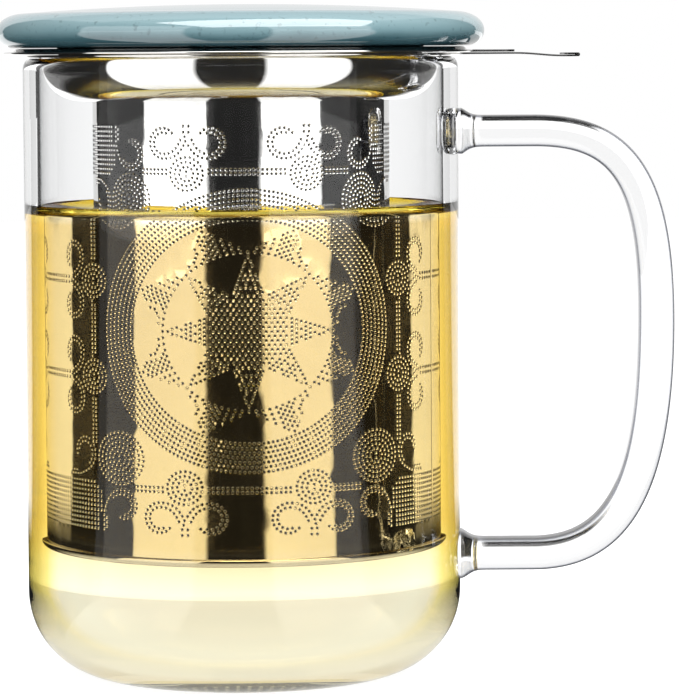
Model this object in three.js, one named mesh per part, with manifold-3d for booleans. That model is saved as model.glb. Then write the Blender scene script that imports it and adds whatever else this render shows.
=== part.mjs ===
// A glass tea mug with a steel infuser and a glazed ceramic lid, in millimetres, +Z up.
// The origin is the middle of the foot, and the handle points along +X.

import * as THREE from "three";
import { mergeVertices } from "three/addons/utils/BufferGeometryUtils.js";
import Module from "manifold-3d";

const wasm = await Module();
wasm.setup();

// Steps of the round forms, and the gaps that neighbours keep
const TURN_STEPS = 48; // facets round the vertical axis
const ARC_STEPS = 6; // steps in a rounded corner
const SEAT_GAP = 0.15; // under a piece that rests on another
const LAY_GAP = 0.1; // between two sheets welded face to face
const FUSE_GAP = 0.3; // between the handle and the wall that it is fused to

// Glass mug, blown in one piece
const MUG_RADIUS = 42.5; // outside of the wall
const MUG_HEIGHT = 121.2; // foot to the top of the rim
const MUG_WALL = 3.2;
const MUG_FLOOR = 4.6; // thickness of the bottom
const MUG_CORNER = 17; // outer radius between the foot and the wall

// Glass handle: two level arms and a bowed grip, its ends pressed out into pads on the wall
const HANDLE_DROP = 14.7; // rim down to the middle of the upper arm
const HANDLE_RISE = 23.4; // foot up to the middle of the lower arm
const HANDLE_REACH = 38.9; // wall out to the middle of the grip
const HANDLE_WAIST = 70; // height at which the grip stands furthest out
const ARM_LENGTH = 14.5; // level run of each arm before it bends
const HANDLE_THICKNESS = 6.8;
const HANDLE_WIDTH = 11;
const PAD_HEIGHT = 9.4;
const PAD_WIDTH = 15;
const PAD_FLARE = 2.6; // distance from the wall over which a pad narrows into its arm
const HANDLE_STEPS = 44;
const SECTION_STEPS = 14;
const SECTION_POWER = 2.8; // 2 is an ellipse, higher is squarer

// Steel infuser: collar, rim plate and thumb tab
const SHEET = 0.5; // steel of the collar and the basket's lip
const COLLAR_CLEARANCE = 0.4; // collar inside the mug's wall
const COLLAR_DEPTH = 8.3; // mug's rim down to the underside of the collar
const COLLAR_NECK = 0.9; // straight part under the collar's flange
const COLLAR_FLANGE = 4; // width of the flange that lies on the glass
const RIM_OVERHANG = 3.6; // rim plate past the outside of the mug
const RIM_INSET = 1.9; // mouth of the rim plate inside the collar's bowl
const RIM_PLATE = 0.45;
const BEAD_HEIGHT = 0.65; // raised band of the rim plate, which carries the lid
const BEAD_INSET = 2.3; // band in from the edge of the rim plate
const BEAD_WIDTH = 3.3;
const BEAD_SLOPE = 0.4;
const TAB_LENGTH = 20; // past the edge of the rim plate
const TAB_WIDTH = 18;
const TAB_CORNER = 5; // rounding of the tab's outer corners, seen from above
const TAB_SHEET = 0.35;
const TAB_DIP = 0.55; // fall of the tab's end below its root
const TAB_HEM = 2.8; // length folded back at the tab's end
const TONGUE_LENGTH = 7.4; // part of the rim plate that lies over the tab

// Perforated basket
const BASKET_RADIUS = 29; // outside of the wall
const BASKET_SHEET = 0.45;
const BASKET_DROP = 88.2; // underside of the collar down to the bottom of the basket
const BASKET_LIP = 2; // width of the lip that hangs on the collar
const BASKET_CLEARANCE = 0.3; // to the hole of the collar, and to the skirt of the base
const SKIRT_HEIGHT = 1.5;
const HOLE_RADIUS = 0.8;
const HOLE_SIDES = 6;
const MEDALLION_TURN = 3.8; // degrees that the pattern is turned towards the handle
const MEDALLION_LIFT = 0.6; // middle of the pattern above the middle of the basket
const BORDER_RADIUS = 24; // ring of holes round each medallion
const BORDER_HOLES = 24;
const STAR_RADIUS = 14.7; // circle that the tips of the star touch
const STAR_POINTS = 8;
const STAR_STEPS = 3; // holes along each ray
const BASE_HOLE_RINGS = 2;
const BASE_HOLE_PITCH = 10;

// Glazed ceramic lid
const LID_OVERHANG = 1.6; // past the edge of the rim plate
const LID_EDGE = 3; // seat up to the widest line
const LID_SHOULDER = 3.7; // widest line up to the start of the dome
const LID_DOME = 1.6; // rise of the dome
const LID_EDGE_WIDTH = 3.4; // rounding under the widest line
const LID_SHOULDER_WIDTH = 5.4; // rounding over the widest line
const LID_THICKNESS = 5.2; // at the middle
const LID_RING_CLEARANCE = 0.7; // between the locating ring and the rim plate's mouth
const LID_RING_WIDTH = 2.2;
const LID_RING_HEIGHT = 1.7;

// Sizes that follow
const mugInner = MUG_RADIUS - MUG_WALL;
const collarOuter = mugInner - COLLAR_CLEARANCE;
const collarUnder = MUG_HEIGHT - COLLAR_DEPTH;
const collarFlangeZ = MUG_HEIGHT + SEAT_GAP;
const rimZ = collarFlangeZ + SHEET + LAY_GAP;
const rimRadius = MUG_RADIUS + RIM_OVERHANG;
const rimMouth = collarOuter - SHEET - RIM_INSET;
const beadTopZ = rimZ + RIM_PLATE + BEAD_HEIGHT;
const lidSeatZ = beadTopZ + SEAT_GAP;
const lidRadius = rimRadius + LID_OVERHANG;
const lidTopZ = lidSeatZ + LID_EDGE + LID_SHOULDER + LID_DOME;
const basketBottom = collarUnder - BASKET_DROP;
const basketTop = collarUnder + SHEET + LAY_GAP;
const medallionZ = (basketBottom + collarUnder) / 2 + MEDALLION_LIFT;

// Finishes
const glass = new THREE.MeshStandardMaterial({ color: 0xf4fafa, roughness: 0.03, metalness: 0 });
const steel = new THREE.MeshStandardMaterial({ color: 0xc9c8c4, roughness: 0.12, metalness: 1 });
const glaze = new THREE.MeshStandardMaterial({ color: 0x8fb0b8, roughness: 0.15, metalness: 0 });

// An elliptical arc in the plane of a turned profile, from one angle to another in degrees.
function arc(middle, height, halfWidth, halfHeight, from, to, steps = ARC_STEPS) {
  return Array.from({ length: steps + 1 }, (_, i) => {
    const angle = THREE.MathUtils.degToRad(from + ((to - from) * i) / steps);
    return [middle + halfWidth * Math.cos(angle), height + halfHeight * Math.sin(angle)];
  });
}

// A profile of [radius, height] points, running anticlockwise, turned round the vertical axis.
function turned(profile) {
  const points = profile.map(([radius, height]) => new THREE.Vector2(radius, height));
  return new THREE.LatheGeometry(points, TURN_STEPS).rotateX(Math.PI / 2);
}

// A closed geometry as a solid for joining and cutting.
function solidOf(geometry) {
  const loose = geometry.index ? geometry.toNonIndexed() : geometry;
  const bare = new THREE.BufferGeometry().setAttribute("position", loose.getAttribute("position"));
  const merged = mergeVertices(bare, 1e-4);
  const corners = merged.index.array;
  const kept = [];
  for (let i = 0; i < corners.length; i += 3) {
    const [a, b, c] = corners.slice(i, i + 3);
    if (a !== b && b !== c && c !== a) kept.push(a, b, c);
  }
  const vertProperties = merged.getAttribute("position").array;
  return new wasm.Manifold(
    new wasm.Mesh({ numProp: 3, vertProperties, triVerts: new Uint32Array(kept) }),
  );
}

function geometryOf(solid) {
  const { vertProperties, triVerts } = solid.getMesh();
  const geometry = new THREE.BufferGeometry();
  geometry.setAttribute("position", new THREE.BufferAttribute(vertProperties, 3));
  return geometry.setIndex(new THREE.BufferAttribute(triVerts, 1));
}

// Mug: a rounded rim, an even wall, and a thicker bottom with rounded corners in and out.
function mugBody() {
  const innerCorner = MUG_CORNER - MUG_WALL;
  return turned([
    [0, 0],
    ...arc(MUG_RADIUS - MUG_CORNER, MUG_CORNER, MUG_CORNER, MUG_CORNER, -90, 0, 9),
    ...arc(MUG_RADIUS - MUG_WALL / 2, MUG_HEIGHT - MUG_WALL / 2, MUG_WALL / 2, MUG_WALL / 2, 0, 180),
    ...arc(mugInner - innerCorner, MUG_FLOOR + innerCorner, innerCorner, innerCorner, 0, -90, 7),
    [0, MUG_FLOOR],
  ]);
}

// Handle: a rounded strap swept along its D, wider and taller where it meets the wall.
function handle() {
  const top = MUG_HEIGHT - HANDLE_DROP;
  const out = MUG_RADIUS + HANDLE_REACH;
  const bend = MUG_RADIUS + ARM_LENGTH;
  const padEdge = Math.sqrt(MUG_RADIUS ** 2 - (PAD_WIDTH / 2) ** 2) - 1;
  const place = (x, z) => new THREE.Vector3(x, 0, z);
  const route = new THREE.CurvePath();
  const pull = (out - bend) * 0.68; // how far the corner curves reach along the arms
  const upper = (top - HANDLE_WAIST) * 0.8;
  const lower = (HANDLE_WAIST - HANDLE_RISE) * 0.73;
  const waist = place(out, HANDLE_WAIST);
  const upperBend = place(bend, top);
  const lowerBend = place(bend, HANDLE_RISE);
  route.add(new THREE.LineCurve3(place(padEdge, top), upperBend));
  route.add(new THREE.CubicBezierCurve3(
    upperBend, place(bend + pull, top), place(out, HANDLE_WAIST + upper), waist,
  ));
  route.add(new THREE.CubicBezierCurve3(
    waist, place(out, HANDLE_WAIST - lower), place(bend + pull, HANDLE_RISE), lowerBend,
  ));
  route.add(new THREE.LineCurve3(lowerBend, place(padEdge, HANDLE_RISE)));

  const length = route.getLength();
  const buried = MUG_RADIUS - padEdge;
  const positions = [];
  for (let i = 0; i <= HANDLE_STEPS; i += 1) {
    // Steps lie closer together near both ends, where the pads flare.
    const t = (1 - Math.cos((Math.PI * i) / HANDLE_STEPS)) / 2;
    const centre = route.getPointAt(t);
    const along = route.getTangentAt(t);
    const outward = new THREE.Vector3(-along.z, 0, along.x);
    const clear = Math.max(0, Math.min(t, 1 - t) * length - buried);
    const flare = Math.exp(-((clear / PAD_FLARE) ** 2));
    const halfThick = (HANDLE_THICKNESS + (PAD_HEIGHT - HANDLE_THICKNESS) * flare) / 2;
    const halfWide = (HANDLE_WIDTH + (PAD_WIDTH - HANDLE_WIDTH) * flare) / 2;
    for (let k = 0; k < SECTION_STEPS; k += 1) {
      const angle = (2 * Math.PI * k) / SECTION_STEPS;
      const square = (value) => Math.sign(value) * Math.abs(value) ** (2 / SECTION_POWER);
      const point = centre.clone().addScaledVector(outward, halfThick * square(Math.cos(angle)));
      positions.push(point.x, point.y + halfWide * square(Math.sin(angle)), point.z);
    }
  }
  const faces = [];
  for (let i = 0; i < HANDLE_STEPS; i += 1) {
    for (let k = 0; k < SECTION_STEPS; k += 1) {
      const next = (k + 1) % SECTION_STEPS;
      const [a, b] = [i * SECTION_STEPS + k, i * SECTION_STEPS + next];
      faces.push(a, a + SECTION_STEPS, b, b, a + SECTION_STEPS, b + SECTION_STEPS);
    }
  }
  const last = HANDLE_STEPS * SECTION_STEPS;
  for (let k = 1; k < SECTION_STEPS - 1; k += 1) {
    faces.push(0, k, k + 1, last, last + k + 1, last + k);
  }
  const strap = new THREE.BufferGeometry();
  strap.setAttribute("position", new THREE.Float32BufferAttribute(positions, 3));
  strap.setIndex(faces);

  const cut = MUG_RADIUS + FUSE_GAP;
  const wall = turned([[0, -1], [cut, -1], [cut, MUG_HEIGHT + 1], [0, MUG_HEIGHT + 1]]);
  return geometryOf(solidOf(strap).subtract(solidOf(wall)));
}

// Collar: a drawn bowl with a hole for the basket, hung on the mug by a flat flange. Round the
// hole its floor is level, where the basket's lip lies.
function infuserCollar() {
  const neckZ = MUG_HEIGHT - COLLAR_NECK;
  const hole = BASKET_RADIUS + BASKET_CLEARANCE;
  const level = hole + BASKET_LIP;
  const flange = collarOuter + COLLAR_FLANGE;
  const width = collarOuter - level;
  const depth = neckZ - collarUnder;
  return turned([
    [hole, collarUnder],
    ...arc(level, neckZ, width, depth, -90, 0, 8),
    [collarOuter, collarFlangeZ],
    [flange, collarFlangeZ],
    [flange, collarFlangeZ + SHEET],
    [collarOuter - SHEET, collarFlangeZ + SHEET],
    ...arc(level, neckZ, width - SHEET, depth - SHEET, 0, -90, 8),
    [hole, collarUnder + SHEET],
    [hole, collarUnder],
  ]);
}

// Rim plate: a flat ring with a raised band for the lid, and a tongue over the tab.
function infuserRim() {
  const top = rimZ + RIM_PLATE;
  const beadOuter = rimRadius - BEAD_INSET;
  const beadInner = beadOuter - BEAD_WIDTH;
  const ring = turned([
    [rimMouth, rimZ],
    [rimRadius, rimZ],
    [rimRadius, top],
    [beadOuter + BEAD_SLOPE, top],
    [beadOuter, beadTopZ],
    [beadInner, beadTopZ],
    [beadInner - BEAD_SLOPE, top],
    [rimMouth, top],
    [rimMouth, rimZ],
  ]);
  const root = rimRadius - RIM_OVERHANG / 2;
  const end = rimRadius + TONGUE_LENGTH;
  const tongue = new THREE.BoxGeometry(end - root, TAB_WIDTH, RIM_PLATE)
    .translate((root + end) / 2, 0, rimZ + RIM_PLATE / 2);
  return geometryOf(solidOf(ring).add(solidOf(tongue)));
}

// Tab: a strip under the tongue, dipping outwards, its end folded back on itself.
function infuserTab() {
  const root = collarOuter + COLLAR_FLANGE + BASKET_CLEARANCE;
  const end = rimRadius + TAB_LENGTH;
  const tongueEnd = rimRadius + TONGUE_LENGTH;
  const under = rimZ - LAY_GAP;
  const low = under - TAB_DIP;
  const fold = low + 2 * TAB_SHEET;
  const outline = new THREE.Shape([
    new THREE.Vector2(root, under - TAB_SHEET),
    new THREE.Vector2(tongueEnd, under - TAB_SHEET),
    new THREE.Vector2(end - TAB_HEM, low - TAB_SHEET),
    new THREE.Vector2(end - TAB_SHEET, low - TAB_SHEET),
    new THREE.Vector2(end, low),
    new THREE.Vector2(end, fold - TAB_SHEET),
    new THREE.Vector2(end - TAB_SHEET, fold),
    new THREE.Vector2(end - TAB_HEM, fold),
    new THREE.Vector2(end - TAB_HEM, low),
    new THREE.Vector2(tongueEnd, under),
    new THREE.Vector2(root, under),
  ]);
  const strip = new THREE.ExtrudeGeometry(outline, { depth: TAB_WIDTH, bevelEnabled: false })
    .translate(0, 0, -TAB_WIDTH / 2)
    .rotateX(Math.PI / 2);
  const side = TAB_WIDTH / 2;
  const plan = new THREE.Shape();
  plan.moveTo(0, -side);
  plan.absarc(end - TAB_CORNER, TAB_CORNER - side, TAB_CORNER, -Math.PI / 2, 0);
  plan.absarc(end - TAB_CORNER, side - TAB_CORNER, TAB_CORNER, 0, Math.PI / 2);
  plan.lineTo(0, side);
  const rounded = new THREE.ExtrudeGeometry(plan, {
    depth: 2 * MUG_HEIGHT, bevelEnabled: false, curveSegments: ARC_STEPS,
  });
  return geometryOf(solidOf(strip).intersect(solidOf(rounded)));
}

// A six-sided cutter that points along a radius of the basket.
function radialCutter(turn, height) {
  const long = 8 * BASKET_SHEET;
  return solidOf(
    new THREE.CylinderGeometry(HOLE_RADIUS, HOLE_RADIUS, long, HOLE_SIDES)
      .rotateZ(Math.PI / 2)
      .translate(BASKET_RADIUS - BASKET_SHEET / 2, 0, height)
      .rotateZ(turn),
  );
}

// Places of a medallion's holes, across and up from its middle: a border ring, the circle round
// the star's tips, and the star's rays.
function medallionHoles() {
  const holes = [[0, 0]];
  const ring = (radius, count) => {
    for (let i = 0; i < count; i += 1) {
      const angle = (2 * Math.PI * i) / count;
      holes.push([radius * Math.sin(angle), radius * Math.cos(angle)]);
    }
  };
  ring(BORDER_RADIUS, BORDER_HOLES);
  ring(STAR_RADIUS, 2 * STAR_POINTS);
  for (let i = 1; i < STAR_STEPS; i += 1) ring((STAR_RADIUS * i) / STAR_STEPS, STAR_POINTS);
  return holes;
}

// Basket wall: a rolled sheet with two perforated medallions, hung in the collar by its lip.
function basketWall() {
  const inner = BASKET_RADIUS - BASKET_SHEET;
  const bottom = basketBottom + BASKET_SHEET + LAY_GAP;
  const shell = turned([
    [inner, bottom],
    [BASKET_RADIUS, bottom],
    [BASKET_RADIUS, basketTop],
    [BASKET_RADIUS + BASKET_LIP, basketTop],
    [BASKET_RADIUS + BASKET_LIP, basketTop + SHEET],
    [inner, basketTop + SHEET],
    [inner, bottom],
  ]);
  const front = THREE.MathUtils.degToRad(MEDALLION_TURN - 90);
  const cutters = [];
  for (const facing of [front, front + Math.PI]) {
    for (const [across, up] of medallionHoles()) {
      cutters.push(radialCutter(facing + across / BASKET_RADIUS, medallionZ + up));
    }
  }
  return geometryOf(solidOf(shell).subtract(wasm.Manifold.union(cutters)));
}

// Basket base: a perforated disc whose skirt turns up round the wall.
function basketBase() {
  const skirtInner = BASKET_RADIUS + BASKET_CLEARANCE;
  const skirtOuter = skirtInner + BASKET_SHEET;
  const top = basketBottom + BASKET_SHEET;
  const cup = turned([
    [0, basketBottom],
    ...arc(skirtOuter - 1, basketBottom + 1, 1, 1, -90, 0, 3),
    [skirtOuter, basketBottom + SKIRT_HEIGHT],
    [skirtInner, basketBottom + SKIRT_HEIGHT],
    [skirtInner, top],
    [0, top],
  ]);
  const cutters = [];
  for (let row = 0; row <= BASE_HOLE_RINGS; row += 1) {
    const count = Math.max(1, STAR_POINTS * row);
    for (let i = 0; i < count; i += 1) {
      const angle = (2 * Math.PI * i) / count;
      cutters.push(solidOf(
        new THREE.CylinderGeometry(HOLE_RADIUS, HOLE_RADIUS, 8 * BASKET_SHEET, HOLE_SIDES)
          .rotateX(Math.PI / 2)
          .translate(
            row * BASE_HOLE_PITCH * Math.cos(angle), row * BASE_HOLE_PITCH * Math.sin(angle), top,
          ),
      ));
    }
  }
  return geometryOf(solidOf(cup).subtract(wasm.Manifold.union(cutters)));
}

// Lid: a thick disc with a full round edge and a low dome, hollowed underneath inside a ring
// that drops into the rim plate's mouth.
function lidBody() {
  const widestZ = lidSeatZ + LID_EDGE;
  const domeZ = widestZ + LID_SHOULDER;
  const domeRadius = lidRadius - LID_SHOULDER_WIDTH;
  const ringOuter = rimMouth - LID_RING_CLEARANCE;
  const ringInner = ringOuter - LID_RING_WIDTH;
  const ceiling = lidTopZ - LID_THICKNESS;
  const dome = Array.from({ length: 5 }, (_, i) => {
    const share = 1 - (i + 1) / 5;
    return [domeRadius * share, domeZ + LID_DOME * (1 - share ** 2)];
  });
  return turned([
    [0, ceiling],
    [ringInner, ceiling],
    [ringInner, lidSeatZ - LID_RING_HEIGHT],
    [ringOuter, lidSeatZ - LID_RING_HEIGHT],
    [ringOuter, lidSeatZ],
    ...arc(lidRadius - LID_EDGE_WIDTH, widestZ, LID_EDGE_WIDTH, LID_EDGE, -90, 0, 5),
    ...arc(domeRadius, widestZ, LID_SHOULDER_WIDTH, LID_SHOULDER, 0, 90, 6).slice(1),
    ...dome,
  ]);
}

const object = new THREE.Group();
const pieces = [
  ["mug_body", mugBody(), glass],
  ["handle", handle(), glass],
  ["infuser_collar", infuserCollar(), steel],
  ["infuser_rim", infuserRim(), steel],
  ["infuser_tab", infuserTab(), steel],
  ["basket_wall", basketWall(), steel],
  ["basket_base", basketBase(), steel],
  ["lid", lidBody(), glaze],
];
for (const [name, geometry, material] of pieces) {
  const mesh = new THREE.Mesh(geometry, material);
  mesh.name = name;
  object.add(mesh);
}

export default object;
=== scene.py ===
import math

import bmesh
import bpy
import numpy as np
from mathutils import Matrix, Vector
from mathutils.geometry import delaunay_2d_cdt
from mathutils.kdtree import KDTree


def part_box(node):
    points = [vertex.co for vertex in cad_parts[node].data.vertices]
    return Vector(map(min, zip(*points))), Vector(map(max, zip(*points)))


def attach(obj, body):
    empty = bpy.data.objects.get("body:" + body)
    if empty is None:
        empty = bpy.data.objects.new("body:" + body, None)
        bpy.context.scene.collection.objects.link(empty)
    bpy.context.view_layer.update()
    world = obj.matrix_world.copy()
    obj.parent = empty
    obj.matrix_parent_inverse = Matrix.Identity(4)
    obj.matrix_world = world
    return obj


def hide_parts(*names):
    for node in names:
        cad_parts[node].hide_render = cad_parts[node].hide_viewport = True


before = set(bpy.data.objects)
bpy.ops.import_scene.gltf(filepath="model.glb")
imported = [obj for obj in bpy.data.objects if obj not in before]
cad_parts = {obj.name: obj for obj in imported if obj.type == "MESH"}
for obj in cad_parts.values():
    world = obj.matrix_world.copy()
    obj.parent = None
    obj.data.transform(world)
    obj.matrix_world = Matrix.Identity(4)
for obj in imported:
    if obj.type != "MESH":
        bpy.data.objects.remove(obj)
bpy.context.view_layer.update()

# ------------------------------------------------------------------ mug body
# The mug is one piece of blown borosilicate glass: an even straight wall, a full round bottom
# corner, and a foot pressed slightly hollow, so that it stands on a ring. Its rim is fire polished
# to a full round.

MM = 0.001
TURN_STEPS = 256
mug_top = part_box("mug_body")[1] / MM
MUG_RADIUS = mug_top.y
MUG_HEIGHT = mug_top.z
MUG_WALL = 3.2
MUG_FLOOR = 4.6
MUG_CORNER = 17.0
MUG_INNER = MUG_RADIUS - MUG_WALL
RIM_ROUNDING = 2.2
FOOT_HOLLOW = 0.4
FOOT_RING = 20.4
FOOT_ROLL = 3.0
FOOT_EDGE = 0.2
MUG_INDEX = 1.25
CLEAR = (0.995, 0.998, 1.0)
# Painted dark edges of the mug's glass: its colour greys where the surface turns away.
MUG_EDGE_SHADE_TONES = [(0.85, CLEAR), (1.0, (0.45, 0.46, 0.48))]
GLASS_WAVES = 30
GLASS_WAVE_HEIGHT = 0.00004


def arc(middle, height, across, up, start, end, steps):
    """Points on an ellipse round (middle, height): across times the cosine and up times the sine of
    an angle that goes from start to end in degrees."""
    angle = np.radians(np.linspace(start, end, steps + 1))
    return np.column_stack([middle + across * np.cos(angle), height + up * np.sin(angle)])


def run(start, end, steps=1, ease=0.0):
    """Points on the straight line from start to end. With ease, one more point stands that far
    inside each end, so that a flat shades flat beside a round corner."""
    share = np.linspace(0, 1, steps + 1)
    if ease:
        length = math.dist(start, end)
        share = np.unique(np.concatenate([share, [ease / length, 1 - ease / length]]))
    return np.outer(1 - share, start) + np.outer(share, end)


def joined(*stretches):
    """The stretches of an outline laid end to end, without the points that fall on one another."""
    points = np.concatenate([np.atleast_2d(s) for s in stretches]).astype(float)
    apart = np.linalg.norm(np.diff(points, axis=0), axis=1) > 1e-4
    return points[np.concatenate([[True], apart])]


def smooth_piece(name, points, faces, material):
    """An object at the origin, made of points in millimetres and rows of point numbers, with points
    that fall on one another made one and every face shaded smooth."""
    mesh = bpy.data.meshes.new(name)
    mesh.from_pydata((np.asarray(points) * MM).tolist(), [], np.asarray(faces).tolist())
    work = bmesh.new()
    work.from_mesh(mesh)
    bmesh.ops.remove_doubles(work, verts=work.verts, dist=1e-7)
    if work.calc_volume(signed=True) < 0:
        bmesh.ops.reverse_faces(work, faces=work.faces)
    work.to_mesh(mesh)
    work.free()
    mesh.shade_smooth()
    mesh.materials.append(material)
    piece = bpy.data.objects.new(name, mesh)
    bpy.context.scene.collection.objects.link(piece)
    return piece


def turned(name, outline, material):
    """A surface of revolution: each point (radius, height) of the outline goes round the Z axis in
    equal steps. The outline runs anticlockwise with the radius to the right, which turns the faces
    outwards, and it starts and ends on the axis or closes on itself."""
    outline = np.asarray(outline)
    rows = len(outline)
    angle = np.linspace(0, 2 * np.pi, TURN_STEPS, endpoint=False)
    radius, height = outline[:, :1], outline[:, 1:]
    points = np.stack(
        [radius * np.cos(angle), radius * np.sin(angle), height + 0 * angle], axis=-1
    ).reshape(-1, 3)
    last = rows - 1 if outline[0, 0] < 1e-6 else rows
    row, step = np.meshgrid(np.arange(last), np.arange(TURN_STEPS), indexing="ij")
    beside, above = (step + 1) % TURN_STEPS, (row + 1) % rows
    corners = [(row, step), (row, beside), (above, beside), (above, step)]
    faces = np.stack([r * TURN_STEPS + s for r, s in corners], axis=-1).reshape(-1, 4)
    return smooth_piece(name, points, faces, material)


def finish(name, **sockets):
    """A material with one Principled shader. Each socket is named with underscores for spaces."""
    material = bpy.data.materials.new(name)
    material.use_nodes = True
    shader = material.node_tree.nodes["Principled BSDF"]
    for socket, value in sockets.items():
        shader.inputs[socket.replace("_", " ")].default_value = value
    return material


def add(material, kind, feeds=None, **settings):
    """Adds a shader node. Settings are its own properties, and feeds are the values, or the outputs
    of other nodes, that go into its sockets."""
    made = material.node_tree.nodes.new("ShaderNode" + kind)
    for key, value in settings.items():
        setattr(made, key, value)
    for socket, value in (feeds or {}).items():
        if isinstance(value, bpy.types.NodeSocket):
            material.node_tree.links.new(value, made.inputs[socket])
        else:
            made.inputs[socket].default_value = value
    return made


def place(material):
    """The Object coordinates of a material, in metres."""
    return add(material, "TexCoord").outputs["Object"]


def noise(material, scale, detail, stretch=(1, 1, 1)):
    """A soft noise on Object coordinates, stretched along some axes, from 0 to 1."""
    turned_to = add(material, "Mapping", {"Vector": place(material), "Scale": stretch})
    feeds = {"Vector": turned_to.outputs["Vector"], "Scale": scale, "Detail": detail}
    return add(material, "TexNoise", feeds).outputs["Fac"]


def spread(material, value, low, high, to_low, to_high):
    """The value carried from the range low to high to another range, and held inside it."""
    feeds = {"Value": value, "From Min": low, "From Max": high}
    feeds |= {"To Min": to_low, "To Max": to_high}
    return add(material, "MapRange", feeds).outputs["Result"]


def ramp(material, value, stops):
    """A colour that changes with the value through stops of (position, colour)."""
    made = add(material, "ValToRGB", {"Fac": value})
    while len(made.color_ramp.elements) < len(stops):
        made.color_ramp.elements.new(0.5)
    for element, (position, colour) in zip(made.color_ramp.elements, stops):
        element.position = position
        element.color = (*colour, 1)
    return made.outputs["Color"]


def wire(material, output, socket):
    """Feeds an output into a socket of the material's Principled shader."""
    shader = material.node_tree.nodes["Principled BSDF"]
    material.node_tree.links.new(output, shader.inputs[socket])


def bumped(material, height, distance):
    """Lets a height from 0 to 1 tilt the surface as if it stood up by distance metres."""
    feeds = {"Height": height, "Distance": distance}
    wire(material, add(material, "Bump", feeds).outputs["Normal"], "Normal")


def turned_away(material):
    """How far the surface turns away from the ray that meets it: 0 square on, and 1 edge on."""
    return add(material, "LayerWeight", {"Blend": 0.5}).outputs["Facing"]


def clear_glass(name, index, edge_shade_tones):
    """Polished borosilicate: clear, with the slow waves of blown glass. Where the surface turns away
    its colour takes the later of the edge shade colours: painted dark edges, as glass shows them when
    it is lit against a white card."""
    material = finish(name, Transmission_Weight=1, IOR=index, Roughness=0)
    wire(material, ramp(material, turned_away(material), edge_shade_tones), "Base Color")
    bumped(material, noise(material, GLASS_WAVES, 1.0, (1, 1, 0.35)), GLASS_WAVE_HEIGHT)
    return material


glass = clear_glass("borosilicate_glass", MUG_INDEX, MUG_EDGE_SHADE_TONES)

inner_corner = MUG_CORNER - MUG_WALL
rim_middle = MUG_RADIUS - MUG_WALL / 2
rim_foot = MUG_HEIGHT - RIM_ROUNDING
hollow_edge = FOOT_RING - FOOT_ROLL
mug_outline = joined(
    run((0, FOOT_HOLLOW), (hollow_edge, FOOT_HOLLOW), 4),
    arc(hollow_edge, 0, FOOT_ROLL, FOOT_HOLLOW, 90, 0, 8)[1:-1],
    (FOOT_RING, 0),
    run((FOOT_RING + FOOT_EDGE, 0), (MUG_RADIUS - MUG_CORNER, 0), 2),
    arc(MUG_RADIUS - MUG_CORNER, MUG_CORNER, MUG_CORNER, MUG_CORNER, -90, 0, 28),
    run((MUG_RADIUS, MUG_CORNER), (MUG_RADIUS, rim_foot), 6, ease=0.3),
    arc(rim_middle, rim_foot, MUG_WALL / 2, RIM_ROUNDING, 0, 180, 20),
    run((MUG_INNER, rim_foot), (MUG_INNER, MUG_FLOOR + inner_corner), 6, ease=0.3),
    arc(MUG_INNER - inner_corner, MUG_FLOOR + inner_corner, inner_corner, inner_corner, 0, -90, 24),
    run((MUG_INNER - inner_corner, MUG_FLOOR), (0, MUG_FLOOR), 4),
)
mug_body = turned("mug_glass", mug_outline, glass)
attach(mug_body, "mug")
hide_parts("mug_body")

# ------------------------------------------------------------------ handle
# The handle is a solid glass strap bent to a D while it is soft: two level arms and a bowed grip
# that is a little thicker. Both ends are pressed out into pads and fused to the wall.

HANDLE_WIDTH = 11.0
ARM_THICKNESS = 6.3
GRIP_THICKNESS = 7.2
ARM_DROP = 14.7
ARM_RISE = 23.4
ARM_LENGTH = 14.5
GRIP_HEIGHT = 70.0
UPPER_PULL = 0.8
LOWER_PULL = 0.73
CORNER_PULL = 0.68
PAD_HEIGHT = 9.4
PAD_WIDTH = 15.0
PAD_FLARE = 2.0
FUSED_DEPTH = 0.25
STRAP_START = 1.5
STRAP_POWER = 3.6
STRAP_SIDES = 48
GRIP_FROM = 0.15
GRIP_SHARE = 0.7
IN_WALL = 0.1
PAD_ROWS = (0, 0.35, 0.65, 0.85, 0.95, 1)
STRAP_INDEX = 1.47

# Painted dark edges: a solid rod of glass is clear in its middle and dark at its edges in front of a
# white card, and these colours paint that dark into the glass where it turns away.
STRAP_EDGE_SHADE_TONES = [
    (0.25, (0.995, 0.997, 1.0)), (0.42, (0.80, 0.82, 0.87)),
    (0.6, (0.06, 0.065, 0.08)), (0.8, (0.01, 0.01, 0.015)),
]


def bezier(start, from_start, to_end, end, steps):
    """Points of a cubic curve from start to end, drawn towards two points on the way."""
    t = np.linspace(0, 1, steps + 1)[:, None]
    hold = [(1 - t) ** 3, 3 * t * (1 - t) ** 2, 3 * t**2 * (1 - t), t**3]
    return sum(h * np.array(p) for h, p in zip(hold, (start, from_start, to_end, end)))


def headings(line):
    """The unit direction of a line at each of its points, and the unit direction to its left."""
    forward = np.gradient(line, axis=0)
    forward /= np.linalg.norm(forward, axis=1, keepdims=True)
    return forward, np.column_stack([-forward[:, 1], forward[:, 0]])


def carried(line, aside, across):
    """A section carried along a line (x, z): at each point of the line it goes aside along Y, and
    across along the direction to the line's left. Gives rows of points (x, y, z)."""
    left = headings(line)[1]
    x = line[:, :1] + left[:, :1] * across
    z = line[:, 1:] + left[:, 1:] * across
    return np.stack([x, aside + 0 * x, z], axis=-1)


def lofted(name, rows, material):
    """A closed skin through rows of points, each row a loop. The first and the last row are drawn
    in to one point each."""
    count, sides = rows.shape[:2]
    row, side = np.meshgrid(np.arange(count - 1), np.arange(sides), indexing="ij")
    beside = (side + 1) % sides
    corners = [(row, side), (row, beside), (row + 1, beside), (row + 1, side)]
    faces = np.stack([r * sides + s for r, s in corners], axis=-1).reshape(-1, 4)
    return smooth_piece(name, rows.reshape(-1, 3), faces, material)


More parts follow.
